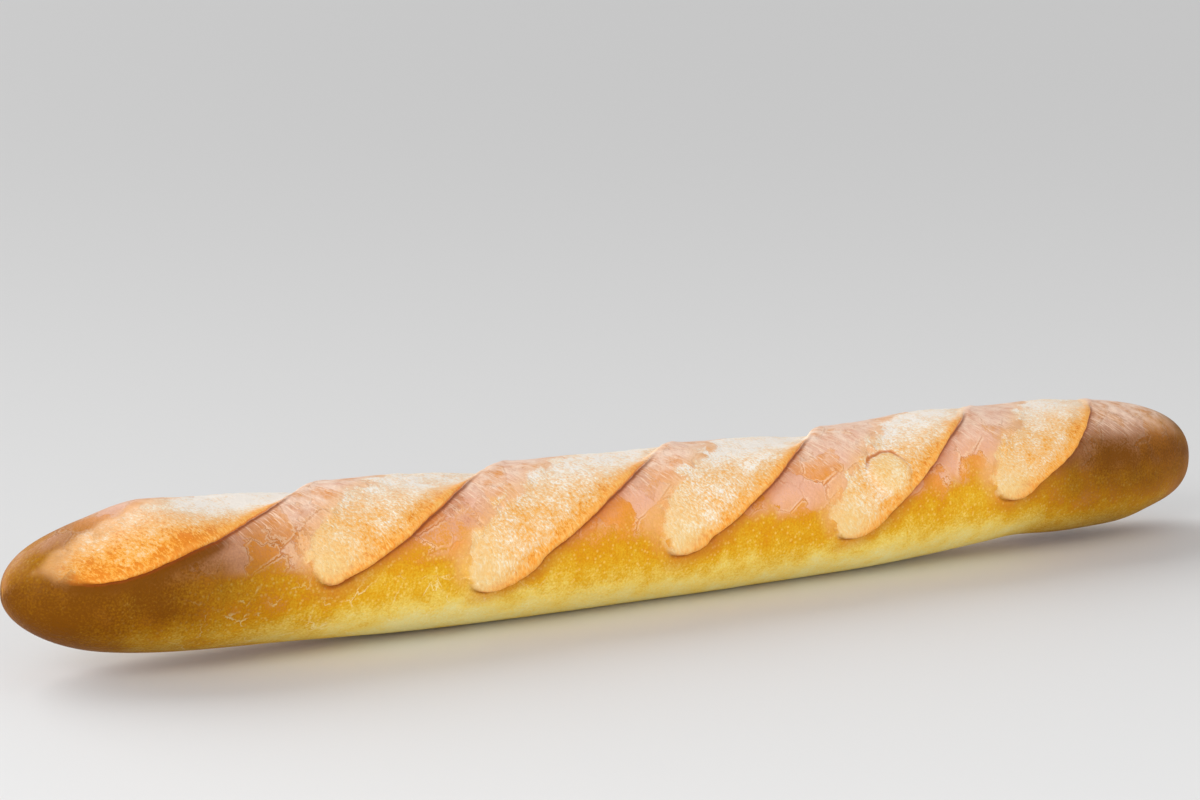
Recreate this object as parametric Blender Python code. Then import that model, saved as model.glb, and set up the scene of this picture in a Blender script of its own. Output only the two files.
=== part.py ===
"""A baguette, 560 mm long: one hand-rolled loaf whose six slanting cuts have opened in the oven.

The loaf lies along X and rests on Z = 0, with its crown up and its tidier side towards -Y.
A place on the crust is given by two numbers: s, the distance along X from the middle, and the
turn round the loaf from the crown, positive towards -Y. All lengths are in metres.
"""

import math

import bmesh
import bpy

# The rolled loaf
LENGTH = 0.560
HEIGHT = 0.0597
WIDTH_TO_HEIGHT = 1.07
END_BLUNTNESS = 8.0
NEAR_END_ROUNDING = 0.50
FAR_END_ROUNDING = 0.44
TAPER_TO_ENDS = 0.03
RISE_OF_ENDS = 0.0034
WIDEST_AT = 0.485
ROUNDNESS_ABOVE = 2.12
ROUNDNESS_BELOW = 2.6
SETTLED = 0.0006
GIRTH_RADIUS = 0.030

# Where hand rolling left the loaf fuller or thinner: (s, spread along X, size)
CROWN_SWELLS = (
    (-0.228, 0.017, 0.0030),
    (0.002, 0.014, 0.0010),
    (0.140, 0.030, 0.0028),
    (0.205, 0.028, 0.0020),
)
UNDERSIDE_HOLLOWS = (
    (-0.185, 0.050, 0.0020),
    (-0.255, 0.014, -0.0006),
    (0.160, 0.045, 0.0026),
    (0.174, 0.018, 0.0014),
    (0.235, 0.014, -0.0012),
    (0.272, 0.016, -0.0025),
)

# The six cuts, from the -X end: middle (s, turn in degrees), slant in degrees, half length,
# half width, bow of the middle, lip height on the -Y side and depth of its dip at the crown
CUTS = (
    (-0.197, 11.0, 28.0, 0.072, 0.0153, 0.0083, 0.0010, 0.0040),
    (-0.111, 7.0, 34.0, 0.075, 0.0141, 0.0024, 0.0022, 0.0040),
    (-0.045, 26.0, 31.0, 0.075, 0.0134, 0.0016, 0.0024, 0.0018),
    (0.0415, 13.0, 35.0, 0.075, 0.0145, 0.0041, 0.0024, 0.0034),
    (0.118, 27.0, 35.0, 0.066, 0.0128, 0.0034, 0.0026, 0.0008),
    (0.196, 22.0, 45.0, 0.060, 0.0141, 0.0105, 0.0030, 0.0008),
)
FRONT_END_FULLNESS = 3.0
BACK_END_FULLNESS = 2.2
LIP_ROUND = 0.005
CREASE_DEPTH = 0.0005
CREASE_WIDTH = 0.0018
LIP_BEGINS_AT = 40.0
LIP_FADES_BY = 12.0
DIP_REACH_FRONT = 28.0
DIP_REACH_BACK = 52.0
BACK_LIP = 0.0012
BACK_LIP_FADES_BY = -30.0
BACK_LIP_BEGINS_AT = -55.0

# How finely the crust is divided
RINGS_ALONG = 122
SPOKES_AROUND = 40
CROWDING_AT_ENDS = 0.12
CROWDING_ON_TOP = 0.38

BAKED_CRUST = (0.62, 0.33, 0.10, 1.0)


def smooth_step(low, high, value):
    """0 below low, 1 above high and an S curve between them."""
    share = min(max((value - low) / (high - low), 0.0), 1.0)
    return share * share * (3.0 - 2.0 * share)


def swell(s, bumps):
    """The sum of gentle bell-shaped bumps along the loaf."""
    return sum(size * math.exp(-(((s - at) / spread) ** 2)) for at, spread, size in bumps)


def rolled_height(s):
    """The height of the loaf's section at s, before its swells and its settling."""
    x = abs(2.0 * s / LENGTH)
    rounding = NEAR_END_ROUNDING if s < 0.0 else FAR_END_ROUNDING
    end = max(1.0 - x**END_BLUNTNESS, 0.0) ** rounding
    return HEIGHT * end * (1.0 - TAPER_TO_ENDS * x * x)


def section_point(s, turn, height, relief):
    """The point at a turn, in radians, of the section at s, moved outwards by relief."""
    x = 2.0 * s / LENGTH
    cap = height / HEIGHT
    middle = HEIGHT / 2.0 + RISE_OF_ENDS * x * x
    top = middle + height / 2.0 + cap * swell(s, CROWN_SWELLS)
    bottom = middle - height / 2.0 + cap * swell(s, UNDERSIDE_HOLLOWS) - SETTLED
    level = bottom + WIDEST_AT * height
    half_width = WIDTH_TO_HEIGHT * height / 2.0
    above = math.cos(turn) > 0.0
    roundness = ROUNDNESS_ABOVE if above else ROUNDNESS_BELOW
    side = math.copysign(abs(math.sin(turn)) ** (2.0 / ROUNDNESS_ABOVE), math.sin(turn))
    rise = math.copysign(abs(math.cos(turn)) ** (2.0 / roundness), math.cos(turn))
    y = -side * half_width
    z = rise * ((top - level) if above else (level - bottom))
    reach = math.hypot(y, z)
    grow = 1.0 + relief / reach if reach > 0.0 else 1.0
    return s, y * grow, max(level + z * grow, 0.0)


def cut_relief(cut, s, turn):
    """How far one opened cut lifts or lowers the crust at a place on it."""
    s_mid, turn_mid, slant, half_length, half_width, bow, lip, dip = cut
    slant = math.radians(slant)
    along_s = s - s_mid
    around = GIRTH_RADIUS * (turn - math.radians(turn_mid))
    along = (along_s * math.cos(slant) - around * math.sin(slant)) / half_length
    across = along_s * math.sin(slant) + around * math.cos(slant)
    across = (across + bow * along * along) / half_width
    fullness = FRONT_END_FULLNESS if along < 0.0 else BACK_END_FULLNESS
    reach = (abs(along) ** fullness + abs(across) ** fullness) ** (1.0 / fullness)
    if reach < 1e-6 or reach > 1.6:
        return lip * 0.5 if reach < 1e-6 else 0.0
    steepness = math.hypot(
        (abs(along) / reach) ** (fullness - 1.0) / half_length,
        (abs(across) / reach) ** (fullness - 1.0) / half_width,
    )
    inside = min((1.0 - reach) / steepness, half_width)
    rim_side = smooth_step(-0.7, 0.6, across)
    degrees = math.degrees(turn)
    front = smooth_step(LIP_FADES_BY, LIP_BEGINS_AT, degrees)
    crease = -CREASE_DEPTH * rim_side * math.exp(-((inside / CREASE_WIDTH) ** 2))
    if inside <= 0.0:
        return crease
    rounding = min(inside / LIP_ROUND, 1.0)
    pillow = math.sqrt(rounding * (2.0 - rounding))
    dip_reach = DIP_REACH_FRONT if degrees > 0.0 else DIP_REACH_BACK
    crown = math.exp(-((degrees / dip_reach) ** 2))
    behind = smooth_step(BACK_LIP_FADES_BY, BACK_LIP_BEGINS_AT, degrees)
    rise = lip * front * rim_side + BACK_LIP * behind * (1.0 - rim_side)
    fall = dip * crown * (0.25 + 0.75 * rim_side)
    return crease + rise * pillow - fall * smooth_step(0.0, 0.006, inside)


def crust_point(share_along, share_around):
    """A point of the crust, from its share of the way along and of the way round the loaf."""
    cap = CROWDING_AT_ENDS / (2.0 - CROWDING_AT_ENDS)
    from_middle = 2.0 * share_along - 1.0
    to_end = (1.0 - abs(from_middle)) / CROWDING_AT_ENDS
    if to_end < 1.0:
        x = math.copysign(1.0 - cap * to_end * to_end, from_middle)
    else:
        x = from_middle * (1.0 - cap) / (1.0 - CROWDING_AT_ENDS)
    s = x * LENGTH / 2.0
    height = rolled_height(s)
    spoke = 2.0 * math.pi * share_around
    turn = spoke - CROWDING_ON_TOP * math.sin(spoke)
    relief = sum(cut_relief(cut, s, turn) for cut in CUTS)
    return section_point(s, turn, height, relief * height / HEIGHT)


def baked_material():
    """Browned crust."""
    material = bpy.data.materials.new("baked_crust")
    material.use_nodes = True
    shader = material.node_tree.nodes["Principled BSDF"]
    shader.inputs["Base Color"].default_value = BAKED_CRUST
    shader.inputs["Roughness"].default_value = 0.5
    shader.inputs["Metallic"].default_value = 0.0
    material.diffuse_color = BAKED_CRUST
    return material


def build_loaf():
    """The loaf: a ball's rings and spokes, moved to the crust's own shape."""
    shape = bmesh.new()
    bmesh.ops.create_uvsphere(shape, u_segments=SPOKES_AROUND, v_segments=RINGS_ALONG, radius=1.0)
    for vertex in shape.verts:
        pole_height = min(max(vertex.co.z, -1.0), 1.0)
        share_along = 1.0 - math.acos(pole_height) / math.pi
        share_around = math.atan2(vertex.co.y, vertex.co.x) / (2.0 * math.pi)
        vertex.co = crust_point(share_along, share_around)
    sides = [vertex.co.y for vertex in shape.verts]
    centring = (0.0, -(min(sides) + max(sides)) / 2.0, 0.0)
    bmesh.ops.translate(shape, vec=centring, verts=shape.verts)
    mesh = bpy.data.meshes.new("loaf")
    shape.to_mesh(mesh)
    shape.free()
    mesh.shade_smooth()
    mesh.set_sharp_from_angle(angle=math.radians(50.0))
    mesh.materials.append(baked_material())
    loaf = bpy.data.objects.new("loaf", mesh)
    bpy.context.scene.collection.objects.link(loaf)
    return loaf


def clear_scene():
    """Removes what the scene already holds."""
    for old in list(bpy.data.objects):
        bpy.data.objects.remove(old)


clear_scene()
build_loaf()
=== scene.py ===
"""Looks of the baguette: its browned crust and torn cuts, with a plain floor, lights and a camera.

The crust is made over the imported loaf. A place on it is given by s, the distance along X from the
middle, and by its turn round the loaf from the crown, positive towards -Y. Lengths are in metres
unless a name says otherwise.
"""

import math

import bmesh
import bpy
import numpy as np
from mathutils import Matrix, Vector, noise


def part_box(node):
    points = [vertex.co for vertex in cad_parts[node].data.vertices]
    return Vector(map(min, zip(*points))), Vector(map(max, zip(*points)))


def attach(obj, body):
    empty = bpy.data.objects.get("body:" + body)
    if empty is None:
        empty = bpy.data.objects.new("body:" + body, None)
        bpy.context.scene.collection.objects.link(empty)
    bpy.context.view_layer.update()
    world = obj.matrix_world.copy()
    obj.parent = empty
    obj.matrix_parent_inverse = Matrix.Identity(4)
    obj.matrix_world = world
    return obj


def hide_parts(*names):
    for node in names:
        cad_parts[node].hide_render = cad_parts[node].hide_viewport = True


bl_info = {
    "name": "Baguette",
    "version": (1, 0, 0),
    "blender": (4, 5, 0),
    "location": "3D View > Sidebar > Baguette",
    "description": "Builds a crusty baguette with slanting cuts, and a plain stage for it",
    "category": "Add Mesh",
}

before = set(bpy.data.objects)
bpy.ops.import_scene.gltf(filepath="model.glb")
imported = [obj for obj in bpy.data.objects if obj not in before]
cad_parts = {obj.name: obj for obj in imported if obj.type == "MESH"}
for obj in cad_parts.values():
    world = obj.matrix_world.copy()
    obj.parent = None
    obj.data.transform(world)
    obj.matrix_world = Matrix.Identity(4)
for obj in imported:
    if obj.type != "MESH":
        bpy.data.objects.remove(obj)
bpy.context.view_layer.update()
MM = 0.001

# The rolled loaf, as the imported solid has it
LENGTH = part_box("loaf")[1].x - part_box("loaf")[0].x
HEIGHT = 0.0597
WIDTH_TO_HEIGHT = 1.07
END_BLUNTNESS = 8.0
NEAR_END_ROUNDING = 0.50
FAR_END_ROUNDING = 0.44
TAPER_TO_ENDS = 0.03
RISE_OF_ENDS = 0.0034
WIDEST_AT = 0.485
ROUNDNESS_ABOVE = 2.12
ROUNDNESS_BELOW = 2.6
SETTLED = 0.0006
GIRTH_RADIUS = 0.030

# Where hand rolling left the loaf fuller or thinner: (s, spread along X, size)
CROWN_SWELLS = (
    (-0.228, 0.017, 0.0030),
    (0.002, 0.014, 0.0010),
    (0.140, 0.030, 0.0028),
    (0.205, 0.028, 0.0020),
)
UNDERSIDE_HOLLOWS = (
    (-0.185, 0.050, 0.0020),
    (-0.255, 0.014, -0.0006),
    (0.160, 0.045, 0.0026),
    (0.174, 0.018, 0.0014),
    (0.235, 0.014, -0.0012),
    (0.272, 0.016, -0.0025),
)

# The six cuts, from the -X end: middle (s, turn in degrees), slant in degrees, half length,
# half width, bow of the middle, lip height on the -Y side, depth of its dip at the crown and
# how browned the torn crumb is, from 0 to 1
CUTS = (
    (-0.197, 11.0, 28.0, 0.072, 0.0153, 0.0083, 0.0010, 0.0040, 0.56),
    (-0.111, 7.0, 34.0, 0.075, 0.0141, 0.0024, 0.0022, 0.0040, 0.30),
    (-0.045, 26.0, 31.0, 0.075, 0.0134, 0.0016, 0.0024, 0.0018, 0.18),
    (0.0415, 13.0, 35.0, 0.075, 0.0145, 0.0041, 0.0024, 0.0034, 0.10),
    (0.118, 27.0, 35.0, 0.066, 0.0128, 0.0034, 0.0026, 0.0008, 0.16),
    (0.196, 22.0, 45.0, 0.060, 0.0141, 0.0105, 0.0030, 0.0008, 0.24),
)
FRONT_END_FULLNESS = 3.0
BACK_END_FULLNESS = 2.2
LIP_ROUND = 0.005
CREASE_DEPTH = 0.0006
CREASE_WIDTH = 0.0014
LIP_BEGINS_AT = 40.0
LIP_FADES_BY = 12.0
DIP_REACH_FRONT = 28.0
DIP_REACH_BACK = 52.0
BACK_LIP = 0.0012
BACK_LIP_FADES_BY = -30.0
BACK_LIP_BEGINS_AT = -55.0

# A usual cut's half length and half width, for grain that is alike on all six
CUT_HALF_LENGTH_MM = 75.0
CUT_HALF_WIDTH_MM = 14.0

# The blister on the fifth cut: its middle (s, turn in degrees), half sizes and height
BLISTER = (0.091, 62.0, 0.0098, 0.0105, 0.0016)

# How finely the crust is divided before its busy places are divided again
RINGS_ALONG = 268
SPOKES_AROUND = 92
CROWDING_AT_ENDS = 0.12


# ---------------------------------------------------------------- the shape of the crust


def smooth_step(low, high, value):
    """0 below low, 1 above high and an S curve between them."""
    share = np.clip((value - low) / (high - low), 0.0, 1.0)
    return share * share * (3.0 - 2.0 * share)


def bell(value, width):
    """1 at zero, falling smoothly to nothing a few widths away."""
    return np.exp(-((value / width) ** 2))


def swell(s, bumps):
    """The sum of gentle bell-shaped bumps along the loaf."""
    return sum(size * bell(s - at, spread) for at, spread, size in bumps)


def rolled_height(s):
    """The height of the loaf's section at s, before its swells and its settling."""
    x = np.abs(2.0 * s / LENGTH)
    rounding = np.where(s < 0.0, NEAR_END_ROUNDING, FAR_END_ROUNDING)
    end = np.maximum(1.0 - x**END_BLUNTNESS, 0.0) ** rounding
    return HEIGHT * end * (1.0 - TAPER_TO_ENDS * x * x)


def crust_points(s, turn, relief):
    """The places at each s and turn, moved outwards by relief."""
    x = 2.0 * s / LENGTH
    height = rolled_height(s)
    cap = height / HEIGHT
    middle = HEIGHT / 2.0 + RISE_OF_ENDS * x * x
    top = middle + height / 2.0 + cap * swell(s, CROWN_SWELLS)
    bottom = middle - height / 2.0 + cap * swell(s, UNDERSIDE_HOLLOWS) - SETTLED
    level = bottom + WIDEST_AT * height
    above = np.cos(turn) > 0.0
    roundness = np.where(above, ROUNDNESS_ABOVE, ROUNDNESS_BELOW)
    side = np.copysign(np.abs(np.sin(turn)) ** (2.0 / ROUNDNESS_ABOVE), np.sin(turn))
    rise = np.copysign(np.abs(np.cos(turn)) ** (2.0 / roundness), np.cos(turn))
    y = -side * WIDTH_TO_HEIGHT * height / 2.0
    z = rise * np.where(above, top - level, level - bottom)
    reach = np.maximum(np.hypot(y, z), 1e-6)
    grow = 1.0 + relief * cap / reach
    return np.stack([s, y * grow, np.maximum(level + z * grow, 0.0)], axis=-1)


def noise_field(points, size, octaves=3, seed=0.0):
    """Smooth noise from about -1 to 1 at each point, whose features are about size across."""
    shift = Vector((seed * 17.3, seed * 5.1, seed * 29.7))
    return np.array(
        [noise.fractal(Vector(p) / size + shift, 1.0, 2.0, octaves) for p in points]
    )


def cut_place(cut, s, turn):
    """(distance inside the cut's edge, share along it, share across it) of each place."""
    s_mid, turn_mid, slant, half_length, half_width, bow = cut[:6]
    slant = math.radians(slant)
    along_s = s - s_mid
    around = GIRTH_RADIUS * (turn - math.radians(turn_mid))
    along = (along_s * math.cos(slant) - around * math.sin(slant)) / half_length
    across = along_s * math.sin(slant) + around * math.cos(slant)
    across = (across + bow * along * along) / half_width
    fullness = np.where(along < 0.0, FRONT_END_FULLNESS, BACK_END_FULLNESS)
    reach = (np.abs(along) ** fullness + np.abs(across) ** fullness) ** (1.0 / fullness)
    reach = np.maximum(reach, 1e-4)
    steepness = np.hypot(
        (np.abs(along) / reach) ** (fullness - 1.0) / half_length,
        (np.abs(across) / reach) ** (fullness - 1.0) / half_width,
    )
    inside = np.clip((1.0 - reach) / steepness, -0.05, half_width)
    return inside, along, across


def nearest_cut(s, turn):
    """For each place, the nearest cut's number and its cut_place values."""
    found = [cut_place(cut, s, turn) for cut in CUTS]
    inside = np.array([place[0] for place in found])
    which = inside.argmax(axis=0)
    pick = np.arange(len(s))
    along = np.array([place[1] for place in found])[which, pick]
    across = np.array([place[2] for place in found])[which, pick]
    return which, inside[which, pick], along, across


class Crust:
    """Everything about the crust at a set of places: its relief and what its colour needs."""

    def __init__(self, s, turn):
        girth = GIRTH_RADIUS * rolled_height(s) / HEIGHT
        flat = np.stack([s, girth * np.sin(turn), girth * np.cos(turn)], axis=-1)
        self.flat = flat
        waver = 0.7 * MM * noise_field(flat, 0.016, 2, 1.0)
        waver = waver + 0.22 * MM * noise_field(flat, 0.0034, 2, 2.0)
        ragged = 1.8 * MM * noise_field(flat, 0.007, 2, 3.0)
        which, inside, along, across = nearest_cut(s, turn)
        cuts = np.array(CUTS)
        lip, dip, crumb_bake = cuts[which, 6], cuts[which, 7], cuts[which, 8]
        paler = smooth_step(0.25, 0.5, crumb_bake) * smooth_step(-0.45, 0.12, along)
        self.crumb_bake = crumb_bake * (1.0 - 1.10 * paler)
        degrees = np.degrees(turn)
        rim = smooth_step(-0.7, 0.6, across)
        inside = inside + waver + ragged * (1.0 - rim)
        self.which, self.inside, self.along, self.across, self.rim = which, inside, along, across, rim
        front = smooth_step(LIP_FADES_BY, LIP_BEGINS_AT, degrees)
        behind = smooth_step(BACK_LIP_FADES_BY, BACK_LIP_BEGINS_AT, degrees)
        within = np.maximum(inside, 0.0)
        rounding = np.minimum(within / (LIP_ROUND - 0.0034 * rim), 1.0)
        pillow = np.sqrt(rounding * (2.0 - rounding))
        flange = smooth_step(0.1, 0.75, across) * smooth_step(5.0, 35.0, degrees)
        self.flange = flange
        trough = 0.25 * bell(inside - 0.0056, 0.0022) - 0.45 * bell(inside - 0.0014, 0.0012)
        trough = flange * MM * trough
        tilt = 0.9 * MM * smooth_step(0.0, 0.003, within) * (across + 0.1) * front
        reach = np.where(degrees > 0.0, DIP_REACH_FRONT, DIP_REACH_BACK)
        crown = bell(degrees, reach)
        rise = lip * front * rim + BACK_LIP * behind * (1.0 - rim)
        ramp = 0.0075 - 0.0045 * rim
        fall = dip * crown * (0.25 + 0.75 * rim) * smooth_step(0.0, ramp, within)
        valley = 0.18 * MM * bell(inside - 0.003, 0.003) * (1.0 - rim)
        crease = CREASE_DEPTH * rim * bell(inside + 0.4 * MM, CREASE_WIDTH) * np.maximum(front, 0.35)
        ear = 0.5 * MM * rim * crown * bell(inside + 0.0018, 0.0016)
        self.opening = smooth_step(-0.1 * MM, 0.3 * MM, inside)
        self.lip = flange * self.opening * smooth_step(0.0038, 0.0018, inside)
        relief = rise * pillow - fall - trough - valley - crease + ear + tilt
        relief += self.unevenness(flat, s, turn)
        torn_edge = bell(inside, 0.0016) * (1.0 - rim)
        relief += 0.14 * MM * torn_edge * noise_field(flat, 0.0026, 2, 9.0)
        relief += self.blister(s, turn)
        self.relief = relief
        self.turn = degrees
        self.s = s

    def unevenness(self, flat, s, turn):
        """Lumps of the rolled dough, wrinkles of the skin and torn crumb in the openings."""
        lumps = 0.45 * MM * noise_field(flat, 0.038, 2, 4.0)
        wrinkles = 0.16 * MM * noise_field(flat, 0.0075, 3, 5.0)
        torn = 0.22 * MM * noise_field(flat, 0.0032, 2, 6.0)
        under = smooth_step(120.0, 165.0, np.abs(np.degrees(turn)))
        calm = (1.0 - 0.8 * under) * smooth_step(1.0, 0.90, np.abs(2.0 * s / LENGTH))
        return calm * (lumps + wrinkles * (1.0 - self.opening) + torn * self.opening)

    def blister(self, s, turn):
        """The blister on the fifth cut: a low dome with a crease over its upper edge."""
        s_mid, turn_mid, half_s, half_turn, height = BLISTER
        ds = (s - s_mid) / half_s
        dt = GIRTH_RADIUS * (turn - math.radians(turn_mid)) / half_turn
        reach = np.hypot(ds, dt) * (1.0 + 0.16 * noise_field(self.flat, 0.008, 2, 11.0))
        self.blister_reach = reach
        self.blister_up = smooth_step(-0.10, -0.85, dt)
        dome = height * np.sqrt(np.clip(1.0 - reach**2, 0.0, 1.0)) * (1.0 - 0.55 * self.blister_up)
        fold = 0.8 * MM * self.blister_up * bell(reach - 1.0, 0.07)
        return dome - fold

    def bake(self):
        """How browned the skin is, from 0, pale, to 1, dark."""
        turn = np.abs(self.turn)
        level = np.interp(
            turn,
            (0.0, 40.0, 62.0, 80.0, 98.0, 110.0, 125.0, 145.0, 165.0, 180.0),
            (0.86, 0.86, 0.81, 0.62, 0.44, 0.26, 0.12, 0.06, 0.20, 0.34),
        )
        at_tip = smooth_step(0.84, 0.97, np.abs(2.0 * self.s / LENGTH))
        level = level + (0.60 - level) * at_tip
        x = 2.0 * self.s / LENGTH
        # Partly painted shade: the sides low down near both ends are made browner, for their deeper browning
        # and for shade there.
        ends = smooth_step(-0.45, -0.75, x) + 0.85 * smooth_step(0.40, 0.74, x)
        level = level + 0.30 * ends * smooth_step(88.0, 108.0, turn) * (1.0 - at_tip)
        level = level + 0.10 * noise_field(self.flat, 0.030, 2, 7.0)
        level = level + 0.10 * noise_field(self.flat, 0.009, 2, 8.0)
        return level

    def toast(self):
        """How far the skin near the ends has gone from its own colour towards dark brown: partly the ends'
        deeper browning, partly painted shade that darkens the ends.
        """
        turn = np.abs(self.turn)
        x = 2.0 * self.s / LENGTH
        near = np.interp(
            turn,
            (0.0, 30.0, 52.0, 75.0, 100.0, 125.0, 150.0, 180.0),
            (0.10, 0.20, 0.80, 1.02, 0.92, 0.56, 0.55, 0.60),
        )
        far = np.interp(
            turn,
            (0.0, 40.0, 60.0, 75.0, 95.0, 115.0, 140.0, 180.0),
            (0.08, 0.34, 0.84, 0.98, 0.84, 0.52, 0.60, 0.70),
        )
        near_low = np.interp(turn, (0.0, 40.0, 70.0, 110.0, 180.0), (0.56, 0.74, 0.96, 1.04, 0.94))
        near = near + (near_low - near) * smooth_step(-0.80, -0.94, x)
        far = far + np.maximum(0.84 - far, 0.0) * smooth_step(0.88, 0.98, x)
        toast = near * smooth_step(-0.54, -0.84, x) + far * smooth_step(0.50, 0.76, x)
        return toast * (1.0 + 0.14 * noise_field(self.flat, 0.014, 2, 10.0))

    def lip_overhang(self):
        """How far each place leans across the cut, so that the lip hangs over the skin below."""
        lean = 0.8 * MM * self.flange * smooth_step(-0.2 * MM, 0.5 * MM, self.inside)
        return lean * smooth_step(4.0 * MM, 0.8 * MM, self.inside)


def place_shares(directions):
    """(s, turn) of each point of a ball whose poles are the loaf's ends."""
    upright = np.clip(directions[:, 2] / np.linalg.norm(directions, axis=1), -1.0, 1.0)
    from_middle = 1.0 - 2.0 * np.arccos(upright) / math.pi
    cap = CROWDING_AT_ENDS / (2.0 - CROWDING_AT_ENDS)
    to_end = (1.0 - np.abs(from_middle)) / CROWDING_AT_ENDS
    x = np.where(
        to_end < 1.0,
        np.copysign(1.0 - cap * to_end * to_end, from_middle),
        from_middle * (1.0 - cap) / (1.0 - CROWDING_AT_ENDS),
    )
    return x * LENGTH / 2.0, np.arctan2(directions[:, 1], directions[:, 0])


def divide_where(shape, wanted):
    """Divides in two every edge whose middle is at a wanted place."""
    shape.edges.ensure_lookup_table()
    middles = np.array([(e.verts[0].co + e.verts[1].co) / 2.0 for e in shape.edges])
    chosen = wanted(*place_shares(middles))
    edges = [edge for edge, pick in zip(shape.edges, chosen) if pick]
    bmesh.ops.subdivide_edges(shape, edges=edges, cuts=1, use_grid_fill=True)


def seen_side(s, turn):
    """The crown and the sides: everywhere but the underside."""
    degrees = np.degrees(turn)
    return (degrees > -84.0) & (degrees < 118.0)


def cut_edges(s, turn):
    """The strips along the cuts' lips and torn edges."""
    _, inside, _, across = nearest_cut(s, turn)
    degrees = np.degrees(turn)
    lips = (across > 0.0) & (inside > -2.6 * MM) & (inside < 3.4 * MM)
    torn = (across <= 0.0) & (np.abs(inside) < 1.4 * MM)
    s_mid, turn_mid, half_s, half_turn = BLISTER[:4]
    around = GIRTH_RADIUS * (turn - math.radians(turn_mid))
    blister = np.abs(np.hypot((s - s_mid) / half_s, around / half_turn) - 1.0) < 0.25
    return ((lips | torn) & (degrees > -70.0)) | blister


def crust_mesh():
    """The crust: a ball's rings and spokes, divided where it is busy, moved to their places."""
    shape = bmesh.new()
    bmesh.ops.create_uvsphere(shape, u_segments=SPOKES_AROUND, v_segments=RINGS_ALONG, radius=1.0)
    divide_where(shape, seen_side)
    divide_where(shape, cut_edges)
    s, turn = place_shares(np.array([vertex.co for vertex in shape.verts]))
    crust = Crust(s, turn)
    lean = crust.lip_overhang()
    slant = np.radians(np.array(CUTS)[crust.which, 2])
    moved_s = s + lean * np.sin(slant)
    moved_turn = turn + lean * np.cos(slant) / GIRTH_RADIUS
    points = crust_points(moved_s, moved_turn, crust.relief)
    points[:, 1] -= (points[:, 1].min() + points[:, 1].max()) / 2.0
    for vertex, point in zip(shape.verts, points):
        vertex.co = point
    mesh = bpy.data.meshes.new("crust")
    shape.to_mesh(mesh)
    shape.free()
    fields = {
        "inside_mm": crust.inside / MM,
        "rim": crust.rim,
        "lip": crust.lip,
        "flange": crust.flange,
        "bake": crust.bake(),
        "toast": crust.toast(),
        "crumb_bake": crust.crumb_bake,
        "from_crown": np.abs(crust.turn),
        "along_mm": crust.along * CUT_HALF_LENGTH_MM,
        "across_mm": crust.across * CUT_HALF_WIDTH_MM,
        "blister": crust.blister_reach,
        "blister_up": crust.blister_up,
        "x": 2.0 * crust.s / LENGTH,
    }
    for name, values in fields.items():
        layer = mesh.attributes.new(name, "FLOAT", "POINT")
        layer.data.foreach_set("value", values.astype(np.float32))
    mesh.shade_smooth()
    return mesh


# ---------------------------------------------------------------- shader maths


def linear(red, green, blue):
    """A screen colour from 0 to 255 as the linear colour that a shader takes."""
    return tuple(
        value / 12.92 if value <= 0.04045 else ((value + 0.055) / 1.055) ** 2.4
        for value in (red / 255.0, green / 255.0, blue / 255.0)
    ) + (1.0,)


class Value:
    """A number that changes over the surface. Sums with it add Math nodes."""

    def __init__(self, finish, socket):
        self.finish = finish
        self.socket = socket

    def sum_with(self, operation, *inputs, clamp=False):
        values = dict(enumerate(inputs))
        made = self.finish.node("ShaderNodeMath", {"operation": operation, "use_clamp": clamp}, values)
        return Value(self.finish, made.outputs[0])

    def __add__(self, other):
        return self.sum_with("ADD", self, other)

    __radd__ = __add__

    def __mul__(self, other):
        return self.sum_with("MULTIPLY", self, other)

    __rmul__ = __mul__

    def __sub__(self, other):
        return self.sum_with("SUBTRACT", self, other)

    def __rsub__(self, other):
        return self.sum_with("SUBTRACT", other, self)

    def __truediv__(self, other):
        return self.sum_with("DIVIDE", self, other)

    def clamped(self):
        return self.sum_with("ADD", self, 0.0, clamp=True)

    def step(self, low, high):
        """0 below low, 1 above high and an S curve between them. Low may be the larger."""
        settings = {"interpolation_type": "SMOOTHSTEP"}
        start, end = (1.0, 0.0) if low > high else (0.0, 1.0)
        values = {0: self, 1: min(low, high), 2: max(low, high), 3: start, 4: end}
        made = self.finish.node("ShaderNodeMapRange", settings, values)
        return Value(self.finish, made.outputs[0])


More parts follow.
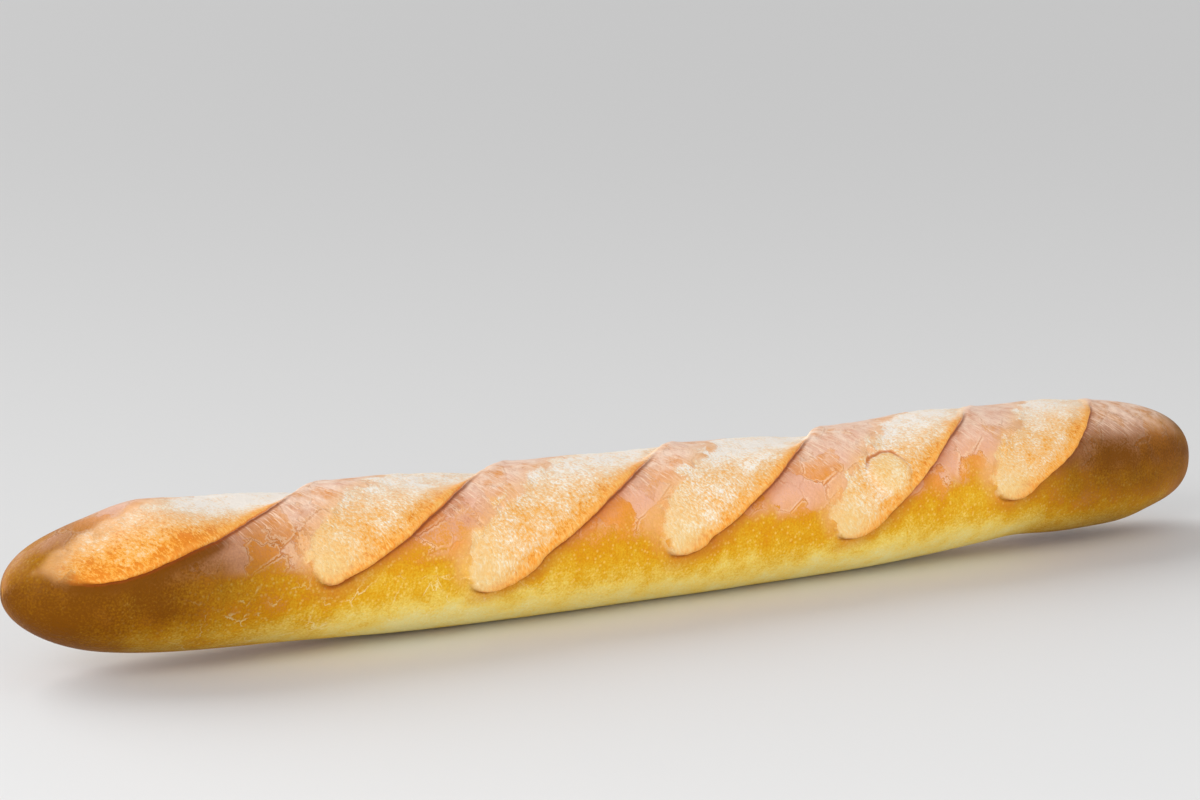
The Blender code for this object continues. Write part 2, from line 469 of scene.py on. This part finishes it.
class Finish:
    """A material's node tree, and one way to add each kind of node to it."""

    def __init__(self, name):
        self.material = bpy.data.materials.new(name)
        self.material.use_nodes = True
        self.tree = self.material.node_tree
        self.shader = self.tree.nodes["Principled BSDF"]

    def node(self, kind, settings=None, values=None):
        """Adds a node, sets it up and then fills its sockets with numbers, colours or links."""
        made = self.tree.nodes.new(kind)
        for name, setting in (settings or {}).items():
            if name == "stops":
                self.fill_ramp(made.color_ramp, setting)
            else:
                setattr(made, name, setting)
        for socket, value in (values or {}).items():
            self.fill(made.inputs[socket], value)
        return made

    def fill(self, socket, value):
        if isinstance(value, Value):
            value = value.socket
        if isinstance(value, bpy.types.NodeSocket):
            self.tree.links.new(value, socket)
        else:
            socket.default_value = value

    def fill_ramp(self, ramp, stops):
        while len(ramp.elements) < len(stops):
            ramp.elements.new(1.0)
        for element, (place, colour) in zip(ramp.elements, stops):
            element.position = place
            element.color = colour

    def field(self, name):
        """A value stored on the mesh's points."""
        return Value(self, self.node("ShaderNodeAttribute", {"attribute_name": name}).outputs["Fac"])

    def ramp(self, value, stops):
        return self.node("ShaderNodeValToRGB", {"stops": stops}, {0: value}).outputs[0]

    def mix(self, share, first, second, blend="MIX"):
        """first where share is 0 and second where it is 1, as colours."""
        settings = {"data_type": "RGBA", "blend_type": blend}
        return self.node("ShaderNodeMix", settings, {0: share, 6: first, 7: second}).outputs[2]

    def vector(self, x, y, z):
        return self.node("ShaderNodeCombineXYZ", None, {0: x, 1: y, 2: z}).outputs[0]

    def place_mm(self):
        """The place on the piece, in millimetres."""
        where = self.node("ShaderNodeTexCoord").outputs["Object"]
        scale = (1.0 / MM, 1.0 / MM, 1.0 / MM)
        made = self.node("ShaderNodeVectorMath", {"operation": "MULTIPLY"}, {0: where, 1: scale})
        return made.outputs[0]

    def grain(self, where, size_mm, detail=3.0, roughness=0.55, warp=0.0):
        """Cloudy noise from 0 to 1 with features about size_mm across."""
        values = {
            "Vector": where,
            "Scale": 1.0 / size_mm,
            "Detail": detail,
            "Roughness": roughness,
            "Distortion": warp,
        }
        return Value(self, self.node("ShaderNodeTexNoise", None, values).outputs["Fac"])

    def cells(self, where, size_mm, feature="F1", output="Distance"):
        """Distance from the middle or the edge of irregular cells about size_mm across."""
        values = {"Vector": where, "Scale": 1.0 / size_mm}
        made = self.node("ShaderNodeTexVoronoi", {"feature": feature}, values)
        return made.outputs[output]

    def cell_value(self, where, size_mm):
        """A number from 0 to 1 that is the same all over each cell."""
        colour = self.cells(where, size_mm, output="Color")
        return Value(self, self.node("ShaderNodeSeparateColor", None, {0: colour}).outputs[0])

    def bump(self, height, depth_mm):
        """Relief too fine for the mesh, depth_mm deep for a height of 1."""
        values = {"Strength": 1.0, "Distance": depth_mm * MM, "Height": height}
        return self.node("ShaderNodeBump", None, values).outputs[0]


def crust_finish(settings):
    """The browned skin, the torn crumb of the openings and the toasted lips, with painted shade below the
    lips and in the blister's fold, and painted sheen over the crown and the crumb near it.
    """
    finish = Finish("baguette_crust")
    bake = finish.field("bake")
    inside = finish.field("inside_mm")
    lip = finish.field("lip")
    rim = finish.field("rim")
    crumb_bake = finish.field("crumb_bake")
    from_crown = finish.field("from_crown")
    where = finish.place_mm()

    # Skin: browned from straw to reddish brown, with plates, freckles and fine specks
    flange = finish.field("flange")
    x = finish.field("x")
    cloud = finish.grain(where, 6.0, 4.0)
    speck = finish.grain(where, 0.8, 2.0)
    browning = bake + (cloud - 0.5) * 0.30 + (speck - 0.5) * 0.46
    skin = finish.ramp(
        browning * 0.8,
        (
            (0.0, tuple(settings.pale_skin) + (1.0,)),
            (0.18, linear(238, 206, 98)),
            (0.33, linear(224, 170, 34)),
            (0.47, tuple(settings.amber_skin) + (1.0,)),
            (0.60, linear(226, 152, 74)),
            (0.70, tuple(settings.brown_skin) + (1.0,)),
            (0.84, linear(200, 118, 58)),
            (1.0, linear(160, 84, 24)),
        ),
    )
    warped = finish.node(
        "ShaderNodeVectorMath",
        {"operation": "ADD"},
        {0: where, 1: finish.vector(cloud * 11.0, speck * 2.5 + cloud * 6.0, cloud * 8.0)},
    ).outputs[0]
    broken = finish.grain(where, 11.0, 2.0).step(0.40, 0.58)
    plate_edge = Value(finish, finish.cells(warped, 12.0, "DISTANCE_TO_EDGE"))
    plate_line = plate_edge.step(0.035, 0.010) * (0.25 + broken * 0.75)
    plate_rim = plate_edge.step(0.015, 0.04) * plate_edge.step(0.10, 0.05) * broken
    plate_tone = finish.cell_value(warped, 12.0)
    browned = bake.step(0.52, 0.76) * from_crown.step(92.0, 76.0)
    # Partly painted sheen: some plates turn pale lilac, partly their own uneven tone, partly the sheen of
    # light on their glossy film.
    skin = finish.mix(plate_tone.step(0.50, 0.58) * browned * 0.72, skin, linear(234, 179, 152))
    skin = finish.mix(plate_tone.step(0.36, 0.28) * browned * 0.66, skin, linear(232, 146, 54))
    skin = finish.mix(plate_line * browned * 0.50, skin, linear(204, 118, 50))
    skin = finish.mix(plate_rim * browned * 0.60, skin, linear(250, 212, 176))
    freckle = Value(finish, finish.cells(where, 2.1)).step(0.36, 0.12)
    freckled = bake.step(0.80, 0.50) * bake.step(0.0, 0.2)
    skin = finish.mix(freckle * freckled * 0.38, skin, linear(250, 218, 128))
    vein_edge = Value(finish, finish.cells(warped, 17.0, "DISTANCE_TO_EDGE"))
    low_down = from_crown.step(84.0, 100.0) * x.step(-0.15, -0.45) * x.step(-0.86, -0.74)
    vein = vein_edge.step(0.022, 0.005) * low_down * finish.grain(where, 7.0, 2.0).step(0.42, 0.62)
    skin = finish.mix(vein * 0.75, skin, linear(246, 228, 166))

    # Painted shade: the skin just below each lip is darkened as the shade under its overhang. It is deepest
    # and darkest below the first cut, whose crumb is the most browned.
    painted_shade_below_lips = (inside + 0.2).step(0.0, -0.6) * (inside + 7.0).step(0.0, 6.0) * flange
    scorched = crumb_bake.step(0.28, 0.50)
    skin = finish.mix(painted_shade_below_lips * (0.50 - scorched * 0.50), skin, linear(192, 108, 50))
    skin = finish.mix((painted_shade_below_lips * scorched * 1.5).clamped() * 0.95, skin, linear(122, 64, 28))
    # Partly painted shade: the skin goes towards dark brown near both ends, for their deeper browning and
    # for shade there.
    toast = (finish.field("toast") * (1.0 + (speck - 0.5) * 0.5)).clamped()
    skin = finish.mix(toast, skin, linear(116, 66, 0))

    # Fine pale streaks that the stretched skin shows over the crown
    across = finish.field("across_mm")
    along = finish.field("along_mm")
    across_share = across * (1.0 / CUT_HALF_WIDTH_MM)
    along_share = along * (1.0 / CUT_HALF_LENGTH_MM)
    streak = finish.grain(finish.vector(along, across * 0.12, 0.0), 0.9, 2.0).step(0.50, 0.64)
    streaked = from_crown.step(64.0, 34.0) * bake.step(0.60, 0.80) * x.step(-0.86, -0.70) * x.step(0.94, 0.8)
    skin = finish.mix(streak * streaked * 0.75, skin, linear(254, 222, 194))
    # Painted sheen: the skin over the crown is made paler in clouds, standing for the sheen of light across
    # the crown.
    painted_crown_sheen = from_crown.step(62.0, 20.0) * x.step(-0.90, -0.72) * x.step(0.98, 0.9)
    skin = finish.mix((painted_crown_sheen * ((cloud - 0.5) * 3.0 + 0.50)).clamped(), skin, linear(252, 220, 196))
    beside = (1.0 - rim) * inside.step(-6.5, -0.5) * bake.step(1.1, 0.9)
    skin = finish.mix(beside * 0.55, skin, linear(240, 184, 124))

    # Torn crumb: cream, mottled with toasted grains stretched across the cut
    torn_place = finish.vector(along, across * 0.62, crumb_bake * 60.0)
    grains = finish.grain(torn_place, 0.85, 4.0, 0.7, 0.3)
    patches = finish.grain(where, 8.0, 3.0)
    nearer_lip = inside.step(11.0, 2.0) * across_share.step(-0.2, 0.6)
    # Painted sheen: the crumb towards the crown is made paler, up to nearly white, standing for the sheen of
    # light across it.
    painted_sheen = from_crown.step(56.0, 6.0)
    toasted = (grains - 0.5) * 2.2 + (patches - 0.5) * 1.1 + crumb_bake * 0.85 + nearer_lip * 0.30
    toasted = toasted + 0.24 - painted_sheen * 0.36
    crumb = finish.ramp(
        toasted,
        (
            (0.0, linear(254, 244, 232)),
            (0.20, tuple(settings.pale_crumb) + (1.0,)),
            (0.40, linear(246, 200, 144)),
            (0.62, linear(248, 184, 98)),
            (0.85, tuple(settings.toasted_crumb) + (1.0,)),
            (1.0, linear(232, 136, 40)),
        ),
    )
    low_end = along_share.step(-0.62, -0.98) * (crumb_bake.step(0.5, 0.35))
    crumb = finish.mix(low_end * 0.6, crumb, linear(240, 218, 158))
    lip_grains = (grains - 0.5) * 3.2 + 0.45
    lip_colour = finish.mix(lip_grains, linear(255, 196, 104), tuple(settings.lip) + (1.0,))
    lip_colour = finish.mix(inside.step(1.1, 0.4) * 0.8, lip_colour, linear(226, 108, 20))
    # Painted sheen: paler still towards the crown.
    crumb = finish.mix(painted_sheen * 0.30, crumb, linear(254, 246, 238))
    crumb = finish.mix(lip * (0.94 - scorched * 0.6), crumb, lip_colour)
    blister = finish.field("blister")
    fold = (blister - 1.0) * (blister - 1.0)
    # Painted shade: a dark line along the fold over the blister's upper edge, where shade falls.
    painted_fold_shade = fold.step(0.012, 0.001) * finish.field("blister_up")
    dome = blister.step(1.05, 0.5)
    crumb = finish.mix(dome * 0.40, crumb, linear(250, 218, 148))
    crumb = finish.mix(painted_fold_shade * 0.75, crumb, linear(206, 108, 30))
    flakes = (finish.cell_value(warped, 6.5) - 0.5) * 6.4 * (1.0 - rim * 0.94)
    flakes = flakes + (speck - 0.5) * 5.0 * (1.0 - rim)
    softness = 0.28 + (1.0 - flange) * (1.10 + scorched * 4.0)
    corner = along_share.step(-0.70, -0.97) * across_share.step(0.5, -0.4)
    edge = ((inside + flakes - corner * 2.4) / softness).step(-1.0, 1.0) * (1.0 - corner * 0.35)
    colour = finish.mix(edge, skin, crumb)
    # Painted shade: a dark line in the crease where each lip meets the skin below it, where the lip's shade
    # falls.
    crease = (inside + 0.1).step(0.3, -0.2) * (inside + 1.9).step(0.0, 1.3) * flange
    colour = finish.mix(crease * 0.85, colour, linear(146, 72, 18))

    # Relief too fine for the mesh
    skin_height = (finish.grain(where, 1.4, 3.0) - 0.5) * 0.8 - plate_line * browned * 0.25
    crumb_height = (grains - 0.5) * 1.2
    height = skin_height * (1.0 - edge) + crumb_height * edge
    finish.fill(finish.shader.inputs["Normal"], finish.bump(height, 0.55))
    rough = 0.52 + (cloud - 0.5) * 0.25 + edge * 0.2 - browned * 0.06
    finish.fill(finish.shader.inputs["Roughness"], rough)
    crown_gloss = from_crown.step(90.0, 30.0) * x.step(-0.95, -0.7)
    gloss = crown_gloss * (0.85 - edge * 0.25) * (1.0 - toast * 0.85)
    finish.fill(finish.shader.inputs["Coat Weight"], gloss)
    finish.fill(finish.shader.inputs["Coat Roughness"], 0.40)
    finish.fill(finish.shader.inputs["Specular IOR Level"], 0.07)
    finish.fill(finish.shader.inputs["Base Color"], colour)
    return finish.material


# ---------------------------------------------------------------- the add-on


class BaguetteSettings(bpy.types.PropertyGroup):
    """Sizes and colours that a user may change."""

    pale_skin: bpy.props.FloatVectorProperty(
        name="Pale skin",
        description="Skin low on the sides, which the oven hardly browned",
        subtype="COLOR",
        size=3,
        min=0.0,
        max=1.0,
        default=linear(236, 222, 152)[:3],
    )
    amber_skin: bpy.props.FloatVectorProperty(
        name="Amber skin",
        description="Skin half way up the sides",
        subtype="COLOR",
        size=3,
        min=0.0,
        max=1.0,
        default=linear(216, 144, 8)[:3],
    )
    brown_skin: bpy.props.FloatVectorProperty(
        name="Brown skin",
        description="Skin of the crown between the cuts",
        subtype="COLOR",
        size=3,
        min=0.0,
        max=1.0,
        default=linear(224, 164, 128)[:3],
    )
    pale_crumb: bpy.props.FloatVectorProperty(
        name="Pale crumb",
        description="Torn crumb in the openings, below the floury crown",
        subtype="COLOR",
        size=3,
        min=0.0,
        max=1.0,
        default=linear(250, 220, 178)[:3],
    )
    toasted_crumb: bpy.props.FloatVectorProperty(
        name="Toasted crumb",
        description="Grains of the torn crumb that the oven toasted",
        subtype="COLOR",
        size=3,
        min=0.0,
        max=1.0,
        default=linear(245, 164, 60)[:3],
    )
    lip: bpy.props.FloatVectorProperty(
        name="Lip",
        description="Rounded lip along the lower edge of each opening",
        subtype="COLOR",
        size=3,
        min=0.0,
        max=1.0,
        default=linear(250, 150, 40)[:3],
    )
    floor: bpy.props.FloatVectorProperty(
        name="Floor",
        description="Plain floor under the loaf",
        subtype="COLOR",
        size=3,
        min=0.0,
        max=1.0,
        default=linear(222, 222, 222)[:3],
    )
    key_power: bpy.props.FloatProperty(
        name="Window light",
        description="Strength of the soft daylight from behind the loaf, in watts per square metre",
        default=2.3,
    )


class BAGUETTE_OT_loaf(bpy.types.Operator):
    """Build the loaf with its crust"""

    bl_idname = "baguette.loaf"
    bl_label = "Build the loaf"

    def execute(self, context):
        loaf = bpy.data.objects.new("baguette_loaf", crust_mesh())
        context.scene.collection.objects.link(loaf)
        loaf.data.materials.append(crust_finish(context.scene.baguette))
        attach(loaf, "root")
        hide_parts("loaf")
        return {"FINISHED"}


# The camera: where it stands, its heading from +Y towards +X and its tilt below level
CAMERA_PLACE = (-0.6206, -0.9370, 0.2576)
CAMERA_HEADING = math.radians(32.13)
CAMERA_TILT = math.radians(9.03)
CAMERA_LENS_MM = 85.0
FLOOR_SIZE = 40.0


def aim(thing, at):
    """Turns a lamp or camera to face a point."""
    thing.rotation_euler = (Vector(at) - thing.location).to_track_quat("-Z", "Y").to_euler()


def add_lamp(context, name, power, size, place, at):
    """A soft rectangular lamp."""
    data = bpy.data.lights.new(name, "AREA")
    data.shape = "RECTANGLE"
    data.size, data.size_y = size
    data.energy = power
    lamp = bpy.data.objects.new(name, data)
    lamp.location = place
    context.scene.collection.objects.link(lamp)
    aim(lamp, at)


def floor_finish(colour):
    """A plain matt floor."""
    finish = Finish("plain_floor")
    finish.shader.inputs["Base Color"].default_value = tuple(colour) + (1.0,)
    finish.shader.inputs["Roughness"].default_value = 0.6
    return finish.material


class BAGUETTE_OT_stage(bpy.types.Operator):
    """Build the floor, the lamps and the camera"""

    bl_idname = "baguette.stage"
    bl_label = "Build the stage"

    def execute(self, context):
        settings = context.scene.baguette
        shape = bmesh.new()
        bmesh.ops.create_grid(shape, x_segments=1, y_segments=1, size=FLOOR_SIZE / 2.0)
        mesh = bpy.data.meshes.new("floor")
        shape.to_mesh(mesh)
        shape.free()
        mesh.materials.append(floor_finish(settings.floor))
        floor = bpy.data.objects.new("floor", mesh)
        context.scene.collection.objects.link(floor)

        middle = (0.0, 0.0, 0.03)
        window_data = bpy.data.lights.new("window", "SUN")
        window_data.energy = settings.key_power
        window_data.angle = math.radians(55.0)
        window = bpy.data.objects.new("window", window_data)
        window.location = (-0.5, 1.2, 0.74)
        context.scene.collection.objects.link(window)
        aim(window, (0.0, 0.0, 0.0))
        add_lamp(context, "left_fill", 20.0, (1.4, 1.2), (-1.6, -0.75, 0.8), middle)
        add_lamp(context, "low_fill", 12.0, (1.8, 0.7), (0.5, -1.6, 0.38), middle)
        world = bpy.data.worlds.new("soft_room")
        world.use_nodes = True
        background = world.node_tree.nodes["Background"]
        background.inputs["Color"].default_value = (1.0, 1.0, 1.0, 1.0)
        background.inputs["Strength"].default_value = 0.42
        context.scene.world = world

        camera_data = bpy.data.cameras.new("camera")
        camera_data.lens = CAMERA_LENS_MM
        camera_data.sensor_width = 36.0
        camera = bpy.data.objects.new("camera", camera_data)
        camera.location = CAMERA_PLACE
        camera.rotation_euler = (math.pi / 2.0 - CAMERA_TILT, 0.0, -CAMERA_HEADING)
        context.scene.collection.objects.link(camera)
        context.scene.camera = camera
        context.scene.view_settings.view_transform = "Standard"
        return {"FINISHED"}


class BAGUETTE_PT_panel(bpy.types.Panel):
    """The add-on's panel in the sidebar"""

    bl_label = "Baguette"
    bl_idname = "BAGUETTE_PT_panel"
    bl_space_type = "VIEW_3D"
    bl_region_type = "UI"
    bl_category = "Baguette"

    def draw(self, context):
        settings = context.scene.baguette
        for name in BaguetteSettings.__annotations__:
            self.layout.prop(settings, name)
        for operator in (BAGUETTE_OT_loaf, BAGUETTE_OT_stage):
            self.layout.operator(operator.bl_idname)


CLASSES = (BaguetteSettings, BAGUETTE_OT_loaf, BAGUETTE_OT_stage, BAGUETTE_PT_panel)


def register():
    for each in CLASSES:
        bpy.utils.register_class(each)
    bpy.types.Scene.baguette = bpy.props.PointerProperty(type=BaguetteSettings)


def unregister():
    del bpy.types.Scene.baguette
    for each in reversed(CLASSES):
        bpy.utils.unregister_class(each)


def main():
    register()
    bpy.ops.baguette.loaf()
    bpy.ops.baguette.stage()


if __name__ == "__main__":
    main()
